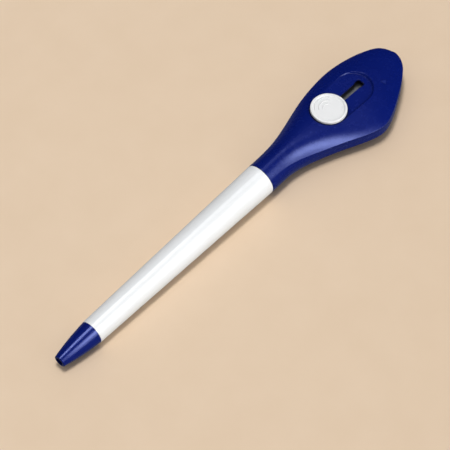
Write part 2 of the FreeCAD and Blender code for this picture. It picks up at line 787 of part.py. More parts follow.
# a wedge tapers along its own Y, which is turned here to stand on the deck
recess_middle = doc.addObject("Part::Wedge", "recess_middle")
recess_middle.Ymin = recess_middle.Zmin = recess_middle.Z2min = 0
bind(recess_middle, Ymax="Sizes.deck_height", Zmax="Sizes.blade_travel", Z2max="Sizes.blade_travel")
bind(recess_middle, Xmin="-" + RECESS_RADIUS, Xmax=RECESS_RADIUS)
bind(recess_middle, X2min="-" + RECESS_TOP, X2max=RECESS_TOP)
recess_middle.Placement.Rotation = FreeCAD.Rotation(V(1, 1, 1), 120)


def rounded(label, piece, radius):
    """A piece with its upright edges rounded."""
    upright = []
    for index, edge in enumerate(piece.Shape.Edges, start=1):
        first, last = edge.Vertexes
        if first.Point.distanceToPoint(last.Point) == abs(first.Z - last.Z):
            upright.append((index, radius, radius))
    fillet = doc.addObject("Part::Fillet", label)
    fillet.Base = piece
    fillet.Edges = upright
    return fillet


entry_block = block(
    "entry_block",
    (ENTRY_START, "-Sizes.slot_entry_width / 2", "-2 * Sizes.shell_wall"),
    ("Sizes.slot_entry_length", "Sizes.slot_entry_width", "4 * Sizes.shell_wall"),
)
doc.recompute()
slot_entry = rounded("slot_entry", entry_block, sheet.slot_entry_round)
deck_cuts = fused(
    "deck_cuts",
    [
        drafted_round("recess_near", "0"),
        drafted_round("recess_far", "Sizes.blade_travel"),
        recess_middle,
        block(
            "slot_run",
            (SLOT_START, "-Sizes.slot_width / 2", "-2 * Sizes.shell_wall"),
            (
                "%s + Sizes.slot_entry_round - %s" % (ENTRY_START, SLOT_START),
                "Sizes.slot_width",
                "4 * Sizes.shell_wall",
            ),
        ),
        slot_entry,
        block(
            "blade_mouth",
            ("Sizes.blade_shoulder", "-" + MOUTH_HALF, SUPPORT_TOP),
            ("Sizes.head_length", "2 * " + MOUTH_HALF, "Sizes.blade_thickness + 2 * Sizes.slide_clearance"),
        ),
    ],
)
GUIDE_INNER = "(Sizes.carrier_width / 2 + Sizes.slide_clearance)"
GUIDE_START = "(-Sizes.carrier_length / 2 - Sizes.guide_rib)"
guide_ribs = fused(
    "guide_ribs",
    [
        block(
            "guide_rib_%d" % (side + 1),
            (GUIDE_START, low, BLADE_TOP),
            ("Sizes.guide_rib_length", "Sizes.guide_rib", "Sizes.deck_height"),
        )
        for side, low in enumerate((GUIDE_INNER, "-%s - Sizes.guide_rib" % GUIDE_INNER))
    ],
)


CARRIER_END = "(Sizes.carrier_length / 2 + Sizes.slide_clearance)"
BLADE_END = "(Sizes.blade_tail + Sizes.slide_clearance)"
deck_room = fused(
    "deck_room",
    [
        block(
            "carrier_room",
            ("-" + CARRIER_END, "-" + GUIDE_INNER, BLADE_TOP),
            ("Sizes.blade_travel + 2 * " + CARRIER_END, "2 * " + GUIDE_INNER, "%s - %s" % (ROOF, BLADE_TOP)),
        ),
        block(
            "blade_room",
            ("-" + BLADE_END, "-" + MOUTH_HALF, SUPPORT_TOP),
            (
                "Sizes.blade_shoulder + " + BLADE_END,
                "2 * " + MOUTH_HALF,
                "%s - %s" % (BLADE_TOP, SUPPORT_TOP),
            ),
        ),
    ],
)


def rib_pair(label, depth):
    """The two ribs under the blade, from their tops down to a depth below them."""
    lows = ("Sizes.support_rib_place", "-Sizes.support_rib_place - Sizes.support_rib")
    extent = ("Sizes.support_rib_length", "Sizes.support_rib", depth)
    ribs = []
    for side, low in enumerate(lows, start=1):
        corner = ("-Sizes.blade_tail", low, "%s - %s" % (SUPPORT_TOP, depth))
        ribs.append(block("%s_%d" % (label, side), corner, extent))
    return fused(label, ribs)


support_ribs = rib_pair("support_ribs", "Sizes.wall_height")
support_feet = rib_pair("support_feet", "(Sizes.deck_height + 2 * Sizes.neck_radius)")
for piece in (deck_cuts, guide_ribs, deck_room, support_ribs, support_feet):
    piece.Placement = deck_place

# Four bosses of the upper shell take the pins of the lower one. Each pair is a share of the way
# from the neck to the tip and a share of the reach on its side.
BOSSES = ((0.50, -0.74), (0.72, -0.68), (0.45, 0.76), (0.74, 0.70))


def boss_row(label, low, radius, length):
    """One upright rod at each boss."""
    rods = []
    for index, (along_share, reach_share) in enumerate(BOSSES, start=1):
        along = head_front + along_share * (head_end - head_front)
        edge = left_side if reach_share > 0 else right_side
        piece = rod("%s_%d" % (label, index), ("0", "0", low), radius, length)
        piece.Placement.Base = V(along, reach_share * reach_at(edge, along), number(low))
        rods.append(piece)
    return fused(label, rods)


bosses = boss_row("bosses", "0", "Sizes.boss_radius", "Sizes.deck_height")
pillars = boss_row("pillars", "-2 * Sizes.neck_radius", "Sizes.boss_radius", "2 * Sizes.neck_radius")
pins = boss_row("pins", "-Sizes.wall_height", "Sizes.pin_radius", "Sizes.wall_height + Sizes.pin_length")
pin_holes = boss_row(
    "pin_holes", "0", "Sizes.pin_radius + Sizes.fixed_fit", "Sizes.pin_length + Sizes.slide_clearance"
)

# The head's two shells, open at the neck and hollow where the blade runs.
top_hollow = cut("top_hollow", top_form, fused("top_room", [top_cavity, deck_room, neck_bore, rib_groove]))
top_inside = shared("top_inside", top_form, fused("top_ribs", [guide_ribs, bosses]))
top_solid = fused("top_solid", [top_hollow, top_inside])
head_upper_shell = cut("head_upper_shell", top_solid, fused("top_cuts", [deck_cuts, pin_holes]))

table_plane = doc.addObject("Part::Box", "below_the_table")
bind(table_plane, Length="2 * Sizes.head_length", Width="4 * Sizes.corner_reach", Height="Sizes.neck_radius")
table_plane.Placement = FreeCAD.Placement(
    V(head_front, -2 * sheet.corner_reach, -table(head_front)),
    FreeCAD.Rotation(V(0, 1, 0), math.degrees(math.atan(rest_slope))),
) * FreeCAD.Placement(V(0, 0, -sheet.neck_radius), FreeCAD.Rotation())
back_hollow = cut("back_hollow", back_form, fused("back_room", [back_cavity, neck_bore, rib_groove]))
back_inside = shared("back_inside", back_form, fused("back_ribs", [support_feet, pillars]))
back_solid = fused("back_solid", [back_hollow, back_inside, support_ribs, pins])
head_lower_shell = cut("head_lower_shell", back_solid, fused("back_cuts", [deck_cuts, table_plane]))

# The slide button: a round moulded disc with a raised rim and curved grip ridges, and a post that
# goes down through the slot into the carrier.
BUTTON_FACE = "(Sizes.button_top - Sizes.button_dish)"
button_disc = turned(
    "button_disc",
    [
        ("0", "Sizes.button_lift"),
        ("Sizes.button_radius - Sizes.button_lift", "Sizes.button_lift"),
        ("Sizes.button_radius", "2 * Sizes.button_lift"),
        ("Sizes.button_radius", "Sizes.button_top - Sizes.button_round"),
        ("Sizes.button_radius - Sizes.button_round", "Sizes.button_top"),
        ("Sizes.button_radius - Sizes.button_rim", "Sizes.button_top"),
        ("Sizes.button_radius - Sizes.button_rim - Sizes.button_dish", BUTTON_FACE),
        ("0", BUTTON_FACE),
    ],
    bows={3: "-Sizes.button_round"},
    axis="V_Axis",
)
POST_WIDTH = "(Sizes.slot_width - 2 * Sizes.post_clearance)"
POST_LENGTH = "Sizes.post_length"
post = block(
    "button_post",
    ("-%s / 2" % POST_LENGTH, "-%s / 2" % POST_WIDTH, BLADE_TOP),
    (POST_LENGTH, POST_WIDTH, "-%s + Sizes.button_lift * 2" % BLADE_TOP),
)
# each grip ridge is an arc round the button's middle, at a share of its radius
GRIP_SHARES = (0.3, 0.52, 0.74)
ridges = []
for index, share in enumerate(GRIP_SHARES, start=1):
    ridge = doc.addObject("Part::Torus", "grip_ridge_%d" % index)
    bind(ridge, Radius1="%s * Sizes.button_radius" % share, Radius2="Sizes.grip_radius")
    bind(ridge, Angle3="Sizes.grip_arc")
    ridge.Placement.Rotation = FreeCAD.Rotation(V(0, 0, 1), 90 - sheet.grip_arc / 2)
    ridge.setExpression("Placement.Base.z", BUTTON_FACE)
    ridges.append(ridge)
slide_button = fused("slide_button", [button_disc, post] + ridges)

# The blade carrier: a moulded block under the roof, with the post's socket and two rivet studs.
carrier_block = block(
    "carrier_block",
    ("-Sizes.carrier_length / 2", "-Sizes.carrier_width / 2", BLADE_TOP),
    ("Sizes.carrier_length", "Sizes.carrier_width", "Sizes.carrier_height"),
)
post_socket = block(
    "post_socket",
    (
        "-%s / 2 - Sizes.fixed_fit" % POST_LENGTH,
        "-%s / 2 - Sizes.fixed_fit" % POST_WIDTH,
        BLADE_TOP,
    ),
    (
        POST_LENGTH + " + 2 * Sizes.fixed_fit",
        POST_WIDTH + " + 2 * Sizes.fixed_fit",
        "Sizes.carrier_height",
    ),
)
RIVET_PLACES = ("-Sizes.rivet_spacing / 2", "Sizes.rivet_spacing / 2")
studs = [
    rod("rivet_stud_%d" % index, (place, "0", BLADE_UNDER), "Sizes.rivet_radius", "2 * Sizes.blade_thickness")
    for index, place in enumerate(RIVET_PLACES, start=1)
]
blade_carrier = fused("blade_carrier", [cut("carrier_body", carrier_block, post_socket)] + studs)

# The blade: flat spring steel with a spear point, riveted under the carrier.
blade_body = doc.addObject("PartDesign::Body", "blade_body")
blade_outline = profile_sketch(
    blade_body,
    "blade_outline",
    "XY_Plane",
    [
        ("-Sizes.blade_tail", "-Sizes.blade_half_width"),
        ("Sizes.blade_shoulder", "-Sizes.blade_half_width"),
        ("Sizes.blade_point", "0"),
        ("Sizes.blade_shoulder", "Sizes.blade_half_width"),
        ("-Sizes.blade_tail", "Sizes.blade_half_width"),
    ],
    bows={1: "-Sizes.blade_bow", 2: "-Sizes.blade_bow"},
)
blade_pad = blade_body.newObject("PartDesign::Pad", "blade_pad")
blade_pad.Profile = blade_outline
blade_pad.setExpression("Length", "Sizes.blade_thickness")
blade_body.setExpression("Placement.Base.z", BLADE_UNDER)
rivet_holes = [
    rod(
        "rivet_hole_%d" % index,
        (place, "0", "2 * " + BLADE_UNDER),
        "Sizes.rivet_radius + Sizes.fixed_fit",
        "-2 * " + BLADE_UNDER,
    )
    for index, place in enumerate(RIVET_PLACES, start=1)
]
opener_blade = cut("opener_blade", blade_body, fused("rivet_holes", rivet_holes))

doc.recompute()

PIECES = (
    nose_cone,
    barrel,
    writing_ball,
    refill_tip,
    tip_holder,
    refill_tube,
    ink_column,
    return_spring,
    guide_sleeve,
    twist_washer,
    cam_tube,
    cam_follower,
    neck_spigot,
    head_upper_shell,
    head_lower_shell,
    slide_button,
    blade_carrier,
    opener_blade,
)
DECK_PIECES = (slide_button, blade_carrier, opener_blade)

# The pen at rest: its axis rises towards the head by the barrel's taper, it stands on Z = 0, and
# the origin is under the middle of its outer box.
rest = FreeCAD.Placement(V(0, 0, 0), FreeCAD.Rotation(V(0, 1, 0), -math.degrees(math.atan(rest_slope))))


def own_place(piece):
    return deck_place if piece in DECK_PIECES else FreeCAD.Placement()


def placed(piece, place):
    shape = piece.Shape.copy()
    shape.Placement = place * own_place(piece) * shape.Placement
    return shape


corners = [point for piece in PIECES for point in placed(piece, rest).tessellate(0.02)[0]]
lows = [min(point[axis] for point in corners) for axis in range(3)]
highs = [max(point[axis] for point in corners) for axis in range(3)]
shift = V(-(lows[0] + highs[0]) / 2, -(lows[1] + highs[1]) / 2, -lows[2])
rest.Base = shift
for piece in PIECES:
    piece.Placement = rest * own_place(piece) * piece.Placement
doc.recompute()

for item in doc.Objects:
    if "Invalid" in item.State or "Error" in item.State:
        raise RuntimeError("%s did not build: %s" % (item.Label, item.State))
for piece in PIECES:
    if piece.Shape.isNull() or not piece.Shape.isValid() or len(piece.Shape.Solids) != 1:
        raise RuntimeError("%s is not one sound solid" % piece.Label)
for piece in PIECES:
    piece.Shape.exportStep("parts/%s.step" % piece.Label)
    print("%-18s %9.3f mm3" % (piece.Label, piece.Shape.Volume))
print("rest: shift %.4f %.4f %.4f, rise %.6f" % (shift.x, shift.y, shift.z, rest_slope))
print("size: %.3f x %.3f x %.3f mm" % tuple(high - low for low, high in zip(lows, highs)))
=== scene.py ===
import json
import math

import bmesh
import bpy
from mathutils import Matrix, Vector


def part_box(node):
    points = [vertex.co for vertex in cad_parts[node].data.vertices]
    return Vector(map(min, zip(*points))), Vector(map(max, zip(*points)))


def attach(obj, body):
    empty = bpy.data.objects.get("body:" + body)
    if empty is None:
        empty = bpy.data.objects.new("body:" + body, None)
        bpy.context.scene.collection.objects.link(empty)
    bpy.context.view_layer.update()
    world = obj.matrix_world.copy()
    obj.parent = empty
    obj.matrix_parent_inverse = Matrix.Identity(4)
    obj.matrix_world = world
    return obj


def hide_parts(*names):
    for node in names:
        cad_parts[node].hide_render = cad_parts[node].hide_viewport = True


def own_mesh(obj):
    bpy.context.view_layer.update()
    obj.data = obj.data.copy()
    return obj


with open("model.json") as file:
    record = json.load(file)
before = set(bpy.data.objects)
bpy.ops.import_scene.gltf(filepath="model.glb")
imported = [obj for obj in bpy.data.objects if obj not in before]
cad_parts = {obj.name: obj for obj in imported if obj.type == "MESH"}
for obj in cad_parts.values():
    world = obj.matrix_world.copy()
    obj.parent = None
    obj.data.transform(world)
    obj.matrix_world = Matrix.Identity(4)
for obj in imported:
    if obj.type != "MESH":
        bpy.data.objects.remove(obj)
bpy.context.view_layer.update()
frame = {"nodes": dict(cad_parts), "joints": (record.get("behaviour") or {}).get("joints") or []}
node = frame["nodes"]
joint = {entry["name"]: entry for entry in frame["joints"]}
MM = 0.001


# Nose cone. A small navy cone with a hole for the point, injection moulded in gloss styrene and screwed
# into the front of the barrel. The mould leaves it mirror smooth, with the faint ripple of cooled plastic
# and edges that are never quite sharp.
NAVY = (0.0004, 0.0066, 0.130, 1.0)
NAVY_LIGHT = (0.0007, 0.0078, 0.142, 1.0)
NAVY_PEARL = 0.24
NAVY_GLINT = (0.80, 0.91, 1.0, 1.0)
PLASTIC_EDGE = 0.12 * MM

# The pattern of moulded plastic, in waves per metre: the pigment's drift, wear from handling, the ripple
# left by cooling, and the fine skin of the mould.
DRIFT_WAVES = 70.0
WEAR_WAVES = 420.0
RIPPLE_WAVES = 260.0
SKIN_WAVES = 3200.0
RIPPLE_HEIGHT = 0.02 * MM
SKIN_HEIGHT = 0.004 * MM
SKIN_STRENGTH = 0.04
STYRENE_IOR = 1.54


def add(tree, kind, at=(0, 0), **settings):
    made = tree.nodes.new(kind)
    made.location = at
    for key, value in settings.items():
        setattr(made, key, value)
    return made


def moulded_plastic(name, colour, second, roughness, ripple, edge=PLASTIC_EDGE, seed=0.0, rough_spread=0.06):
    """Moulded plastic: a slow drift between two tones, uneven gloss, cooling ripple and softened edges."""
    material = bpy.data.materials.new(name)
    material.use_nodes = True
    tree = material.node_tree
    surface = tree.nodes["Principled BSDF"]
    place = add(tree, "ShaderNodeTexCoord", (-1300, 0))
    drift = add(tree, "ShaderNodeTexNoise", (-1050, 260), noise_dimensions="4D")
    drift.inputs["W"].default_value = seed
    drift.inputs["Scale"].default_value = DRIFT_WAVES
    drift.inputs["Detail"].default_value = 3.0
    tones = add(tree, "ShaderNodeValToRGB", (-800, 260))
    tones.color_ramp.elements[0].position = 0.35
    tones.color_ramp.elements[0].color = colour
    tones.color_ramp.elements[1].position = 0.68
    tones.color_ramp.elements[1].color = second
    handling = add(tree, "ShaderNodeTexNoise", (-1050, 0), noise_dimensions="4D")
    handling.inputs["W"].default_value = seed + 3.1
    handling.inputs["Scale"].default_value = WEAR_WAVES
    handling.inputs["Detail"].default_value = 5.0
    handling.inputs["Roughness"].default_value = 0.62
    gloss = add(tree, "ShaderNodeMapRange", (-800, 0))
    gloss.inputs["From Min"].default_value = 0.30
    gloss.inputs["From Max"].default_value = 0.72
    gloss.inputs["To Min"].default_value = roughness
    gloss.inputs["To Max"].default_value = roughness + rough_spread
    wave = add(tree, "ShaderNodeTexNoise", (-1050, -260))
    wave.inputs["Scale"].default_value = RIPPLE_WAVES
    wave.inputs["Detail"].default_value = 2.0
    skin = add(tree, "ShaderNodeTexNoise", (-1050, -520))
    skin.inputs["Scale"].default_value = SKIN_WAVES
    skin.inputs["Detail"].default_value = 2.0
    rounded = add(tree, "ShaderNodeBevel", (-800, -420), samples=8)
    rounded.inputs["Radius"].default_value = edge
    swell = add(tree, "ShaderNodeBump", (-540, -260))
    swell.inputs["Strength"].default_value = ripple
    swell.inputs["Distance"].default_value = RIPPLE_HEIGHT
    fine = add(tree, "ShaderNodeBump", (-280, -320))
    fine.inputs["Strength"].default_value = SKIN_STRENGTH
    fine.inputs["Distance"].default_value = SKIN_HEIGHT
    for texture in (drift, handling, wave, skin):
        tree.links.new(place.outputs["Object"], texture.inputs["Vector"])
    tree.links.new(drift.outputs["Fac"], tones.inputs["Fac"])
    tree.links.new(tones.outputs["Color"], surface.inputs["Base Color"])
    tree.links.new(handling.outputs["Fac"], gloss.inputs["Value"])
    tree.links.new(gloss.outputs["Result"], surface.inputs["Roughness"])
    tree.links.new(wave.outputs["Fac"], swell.inputs["Height"])
    tree.links.new(rounded.outputs["Normal"], swell.inputs["Normal"])
    tree.links.new(skin.outputs["Fac"], fine.inputs["Height"])
    tree.links.new(swell.outputs["Normal"], fine.inputs["Normal"])
    tree.links.new(fine.outputs["Normal"], surface.inputs["Normal"])
    surface.inputs["IOR"].default_value = STYRENE_IOR
    return material


def finish_with(material, *names):
    for name in names:
        node[name].material_slots[0].material = material


def pearly(material):
    """A little pearl in the pigment, so that the navy parts glint blue and not white."""
    surface = material.node_tree.nodes["Principled BSDF"]
    surface.inputs["Metallic"].default_value = NAVY_PEARL
    surface.inputs["Specular Tint"].default_value = NAVY_GLINT


nose_navy = moulded_plastic("navy_nose", NAVY, NAVY_LIGHT, 0.20, 0.10, seed=1.7)
pearly(nose_navy)
finish_with(nose_navy, "nose_cone")


# Barrel. A tapered white tube moulded in one piece, bright gloss outside and bare of print. Its front rim
# catches the light as a thin white line against the navy nose.
WHITE = (0.66, 0.67, 0.68, 1.0)
WHITE_WARM = (0.64, 0.65, 0.655, 1.0)

barrel_white = moulded_plastic("white_barrel", WHITE, WHITE_WARM, 0.28, 0.04, seed=4.2)
finish_with(barrel_white, "barrel")


# Writing point. A turned brass tip with a hard steel ball rolled into its end, pressed into the grey holder
# that carries the milky tube and its column of ink.
BRASS = (0.64, 0.46, 0.20, 1.0)
BRASS_DARK = (0.50, 0.33, 0.12, 1.0)
STEEL = (0.58, 0.59, 0.60, 1.0)
STEEL_DARK = (0.42, 0.43, 0.45, 1.0)
INK = (0.003, 0.008, 0.06, 1.0)
INK_DEEP = (0.002, 0.004, 0.03, 1.0)
GREY = (0.34, 0.35, 0.36, 1.0)
GREY_PALE = (0.40, 0.41, 0.42, 1.0)
METAL_SHARE = 0.90
METAL_EDGE = 0.05 * MM
MARK_DEPTH = 0.01 * MM
NO_STRETCH = (1.0, 1.0, 1.0)
LATHE_RINGS = (12.0, 1.0, 1.0)


def worked_metal(name, colour, dark, roughness, marks, stretch, across, depth):
    """Metal with tool marks: noise stretched by the three factors, so that it runs in lines or rings."""
    material = bpy.data.materials.new(name)
    material.use_nodes = True
    tree = material.node_tree
    surface = tree.nodes["Principled BSDF"]
    place = add(tree, "ShaderNodeTexCoord", (-1300, 0))
    drawn = add(tree, "ShaderNodeMapping", (-1100, 0))
    drawn.inputs["Scale"].default_value = stretch
    lines = add(tree, "ShaderNodeTexNoise", (-880, 0))
    lines.inputs["Scale"].default_value = marks
    lines.inputs["Detail"].default_value = 6.0
    lines.inputs["Roughness"].default_value = 0.7
    cloud = add(tree, "ShaderNodeTexNoise", (-880, 280))
    cloud.inputs["Scale"].default_value = across
    cloud.inputs["Detail"].default_value = 3.0
    tones = add(tree, "ShaderNodeValToRGB", (-620, 280))
    tones.color_ramp.elements[0].position = 0.30
    tones.color_ramp.elements[0].color = dark
    tones.color_ramp.elements[1].position = 0.66
    tones.color_ramp.elements[1].color = colour
    gloss = add(tree, "ShaderNodeMapRange", (-620, 0))
    gloss.inputs["To Min"].default_value = roughness * 0.7
    gloss.inputs["To Max"].default_value = roughness * 1.4
    rounded = add(tree, "ShaderNodeBevel", (-620, -260), samples=4)
    rounded.inputs["Radius"].default_value = METAL_EDGE
    cut = add(tree, "ShaderNodeBump", (-360, -220))
    cut.inputs["Strength"].default_value = depth
    cut.inputs["Distance"].default_value = MARK_DEPTH
    tree.links.new(place.outputs["Object"], drawn.inputs["Vector"])
    tree.links.new(drawn.outputs["Vector"], lines.inputs["Vector"])
    tree.links.new(place.outputs["Object"], cloud.inputs["Vector"])
    tree.links.new(cloud.outputs["Fac"], tones.inputs["Fac"])
    tree.links.new(tones.outputs["Color"], surface.inputs["Base Color"])
    tree.links.new(lines.outputs["Fac"], gloss.inputs["Value"])
    tree.links.new(gloss.outputs["Result"], surface.inputs["Roughness"])
    tree.links.new(lines.outputs["Fac"], cut.inputs["Height"])
    tree.links.new(rounded.outputs["Normal"], cut.inputs["Normal"])
    tree.links.new(cut.outputs["Normal"], surface.inputs["Normal"])
    surface.inputs["Metallic"].default_value = METAL_SHARE
    return material


turned_brass = worked_metal("turned_brass", BRASS, BRASS_DARK, 0.26, 900.0, LATHE_RINGS, 600.0, 0.35)
finish_with(turned_brass, "refill_tip")
ball_steel = worked_metal("ball_steel", STEEL, STEEL_DARK, 0.12, 2500.0, NO_STRETCH, 1500.0, 0.10)
finish_with(ball_steel, "writing_ball")
ink_blue = moulded_plastic("ink_blue", INK, INK_DEEP, 0.08, 0.05, seed=8.8)
finish_with(ink_blue, "ink_column")
grey_moulded = moulded_plastic("grey_moulded", GREY, GREY_PALE, 0.42, 0.35, seed=2.9, rough_spread=0.12)
finish_with(grey_moulded, "tip_holder")


# Refill tube. Thin polypropylene, milky and a little see-through, drawn as one length and cut square. The
# column of ink shows through it as a blue core.
MILKY = (0.74, 0.78, 0.80, 1.0)
MILKY_DIM = (0.66, 0.71, 0.74, 1.0)
MILKY_CLEARNESS = 0.55

milky_tube = moulded_plastic("milky_tube", MILKY, MILKY_DIM, 0.30, 0.20, seed=6.3)
milky_tube.node_tree.nodes["Principled BSDF"].inputs["Transmission Weight"].default_value = MILKY_CLEARNESS
finish_with(milky_tube, "refill_tube")


# Return spring. Round steel wire coiled cold, its end turns closed so that it stands square between the
# nose cone and the tip holder. It draws the refill back when the head is turned back.
COIL_TURNS = 11.0
CLOSED_TURNS = 1.5
CLOSED_PITCH = 2.05
WIRE_RADIUS = 0.18 * MM
WIRE_STEPS = 420
WIRE_SIDES = 12


def coil_tree(material):
    """Geometry Nodes for a compression spring along +X, from its size inputs."""
    tree = bpy.data.node_groups.new("coil_spring", "GeometryNodeTree")
    tree.interface.new_socket("Geometry", in_out="OUTPUT", socket_type="NodeSocketGeometry")
    for name in ("Length", "Coil radius", "Wire radius", "Turns", "Closed turns"):
        tree.interface.new_socket(name, in_out="INPUT", socket_type="NodeSocketFloat")
    given = add(tree, "NodeGroupInput", (-1800, 0))
    result = add(tree, "NodeGroupOutput", (900, 0))

    def maths(operation, first, second, at):
        made = add(tree, "ShaderNodeMath", at, operation=operation)
        for socket, value in zip(made.inputs, (first, second)):
            if isinstance(value, (int, float)):
                socket.default_value = value
            elif value is not None:
                tree.links.new(value, socket)
        return made.outputs[0]

    path = add(tree, "GeometryNodeCurvePrimitiveLine", (-900, 500))
    points = add(tree, "GeometryNodeResampleCurve", (-700, 500))
    points.inputs["Count"].default_value = WIRE_STEPS
    along = add(tree, "GeometryNodeSplineParameter", (-1800, -500))
    turns = given.outputs["Turns"]
    closed = given.outputs["Closed turns"]
    turn = maths("MULTIPLY", along.outputs["Factor"], turns, (-1500, -400))
    pitch = maths("MULTIPLY", given.outputs["Wire radius"], CLOSED_PITCH, (-1500, 200))
    open_turns = maths("SUBTRACT", turns, maths("MULTIPLY", closed, 2.0, (-1500, 0)), (-1300, 0))
    closed_length = maths("MULTIPLY", closed, pitch, (-1300, 200))
    open_length = maths("SUBTRACT", given.outputs["Length"],
                        maths("MULTIPLY", closed_length, 2.0, (-1100, 200)), (-900, 200))
    first_part = maths("MULTIPLY", maths("MINIMUM", turn, closed, (-1300, -300)), pitch, (-1100, -300))
    into_open = maths("MAXIMUM", maths("SUBTRACT", turn, closed, (-1300, -500)), 0.0, (-1100, -500))
    open_turn = maths("MINIMUM", into_open, open_turns, (-900, -500))
    open_share = maths("DIVIDE", open_turn, open_turns, (-700, -500))
    open_part = maths("MULTIPLY", open_share, open_length, (-500, -500))
    last_turn = maths("SUBTRACT", into_open, open_turn, (-700, -700))
    last_part = maths("MULTIPLY", last_turn, pitch, (-500, -700))
    reach = maths("ADD", maths("ADD", first_part, open_part, (-300, -400)), last_part, (-100, -400))
    angle = maths("MULTIPLY", turn, math.tau, (-1300, -900))
    radius = given.outputs["Coil radius"]
    side = maths("MULTIPLY", maths("COSINE", angle, None, (-1100, -900)), radius, (-900, -900))
    height = maths("MULTIPLY", maths("SINE", angle, None, (-1100, -1100)), radius, (-900, -1100))
    spot = add(tree, "ShaderNodeCombineXYZ", (100, -500))
    tree.links.new(reach, spot.inputs["X"])
    tree.links.new(side, spot.inputs["Y"])
    tree.links.new(height, spot.inputs["Z"])
    wound = add(tree, "GeometryNodeSetPosition", (300, 300))
    section = add(tree, "GeometryNodeCurvePrimitiveCircle", (300, 0))
    section.inputs["Resolution"].default_value = WIRE_SIDES
    tree.links.new(given.outputs["Wire radius"], section.inputs["Radius"])
    wire = add(tree, "GeometryNodeCurveToMesh", (500, 200))
    wire.inputs["Fill Caps"].default_value = True
    real = add(tree, "GeometryNodeRealizeInstances", (650, 100))
    dressed = add(tree, "GeometryNodeSetMaterial", (780, 0))
    dressed.inputs["Material"].default_value = material
    tree.links.new(path.outputs["Curve"], points.inputs["Curve"])
    tree.links.new(points.outputs["Curve"], wound.inputs["Geometry"])
    tree.links.new(spot.outputs["Vector"], wound.inputs["Position"])
    tree.links.new(wound.outputs["Geometry"], wire.inputs["Curve"])
    tree.links.new(section.outputs["Curve"], wire.inputs["Profile Curve"])
    tree.links.new(wire.outputs["Mesh"], real.inputs["Geometry"])
    tree.links.new(real.outputs["Geometry"], dressed.inputs["Geometry"])
    tree.links.new(dressed.outputs["Geometry"], result.inputs["Geometry"])
    return tree


def grown(name, tree, **sizes):
    """The plain mesh that a Geometry Nodes tree makes from these sizes."""
    carrier = bpy.data.objects.new(name + "_seed", bpy.data.meshes.new(name + "_seed"))
    bpy.context.scene.collection.objects.link(carrier)
    modifier = carrier.modifiers.new("make", "NODES")
    modifier.node_group = tree
    for item in tree.interface.items_tree:
        if item.in_out == "INPUT" and item.name in sizes:
            modifier[item.identifier] = sizes[item.name]
    graph = bpy.context.evaluated_depsgraph_get()
    mesh = bpy.data.meshes.new_from_object(carrier.evaluated_get(graph))
    bpy.data.objects.remove(carrier)
    mesh.name = name
    return mesh


def piece_from(mesh, name):
    made = bpy.data.objects.new(name, mesh)
    bpy.context.scene.collection.objects.link(made)
    return made


pen_axis = Vector(joint["head_twist"]["axis"]).normalized()
pen_point = Vector(joint["head_twist"]["pos_m"])
spring_low, spring_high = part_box("return_spring")
spring_start = pen_point + pen_axis * ((spring_low.x - pen_point.x) / pen_axis.x)
spring_steel = worked_metal("spring_steel", STEEL, STEEL_DARK, 0.22, 1500.0, NO_STRETCH, 700.0, 0.15)
spring_length = spring_high.x - spring_low.x
coil_sizes = {
    "Length": spring_length - WIRE_RADIUS * 2,
    "Coil radius": (spring_high.y - spring_low.y) / 2 - WIRE_RADIUS,
    "Wire radius": WIRE_RADIUS,
    "Turns": COIL_TURNS,
    "Closed turns": CLOSED_TURNS,
}
spring_mesh = grown("wound_spring", coil_tree(spring_steel), **coil_sizes)
lean = Vector((1, 0, 0)).rotation_difference(pen_axis).to_matrix().to_4x4()
spring_mesh.transform(Matrix.Translation(spring_start + pen_axis * WIRE_RADIUS) @ lean)
spring_mesh.shade_smooth()
spring = piece_from(spring_mesh, "wound_spring")
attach(spring, "barrel")
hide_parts("return_spring")
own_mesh(spring)


# Twist works. Grey acetal parts inside the barrel: the guide sleeve with straight slots, the cam tube with
# helical ones, the follower between them, the spigot that joins them to the head, and a thin steel washer.
works_grey = moulded_plastic("grey_works", GREY, GREY_PALE, 0.38, 0.30, seed=5.5, rough_spread=0.10)
finish_with(works_grey, "guide_sleeve", "cam_tube", "cam_follower", "neck_spigot")
washer_steel = worked_metal("washer_steel", STEEL, STEEL_DARK, 0.30, 800.0, (1.0, 6.0, 1.0), 500.0, 0.2)
finish_with(washer_steel, "twist_washer")


# Head. Two navy shells, moulded in the same gloss plastic as the nose cone and pinned together along the
# parting line at the corner. The upper one has the recess and the long slot for the button.
HEAD_EDGE = 0.20 * MM
SHELL_SHADE_REACH = 1.4 * MM
SHELL_SHADE_LEVEL = 0.25


def painted_crease_shade(material, reach, level):
    """Painted shade: less light gets into a crease or a slot, so the base colour is darkened by ambient
    occlusion where other faces are this near.
    """
    tree = material.node_tree
    surface = tree.nodes["Principled BSDF"]
    plain = surface.inputs["Base Color"].links[0].from_socket
    open_sky = add(tree, "ShaderNodeAmbientOcclusion", (-540, 520), samples=12)
    open_sky.inputs["Distance"].default_value = reach
    share = add(tree, "ShaderNodeMapRange", (-360, 520))
    share.inputs["From Min"].default_value = 0.55
    share.inputs["From Max"].default_value = 0.95
    share.inputs["To Min"].default_value = level
    painted_shade = add(tree, "ShaderNodeMix", (-180, 300), data_type="RGBA", blend_type="MULTIPLY")
    painted_shade.inputs["Factor"].default_value = 1.0
    before, factor = [socket for socket in painted_shade.inputs if socket.enabled and socket.type == "RGBA"]
    after = next(socket for socket in painted_shade.outputs if socket.enabled)
    tree.links.new(open_sky.outputs["AO"], share.inputs["Value"])
    tree.links.new(plain, before)
    tree.links.new(share.outputs["Result"], factor)
    tree.links.new(after, surface.inputs["Base Color"])


head_navy = moulded_plastic("navy_head", NAVY, NAVY_LIGHT, 0.24, 0.08, edge=HEAD_EDGE, seed=0.4)
pearly(head_navy)
# Painted shade: the shells' base colour is darkened in the recess, in the slot and in the ring around the
# button.
painted_crease_shade(head_navy, SHELL_SHADE_REACH, SHELL_SHADE_LEVEL)
finish_with(head_navy, "head_upper_shell", "head_lower_shell")


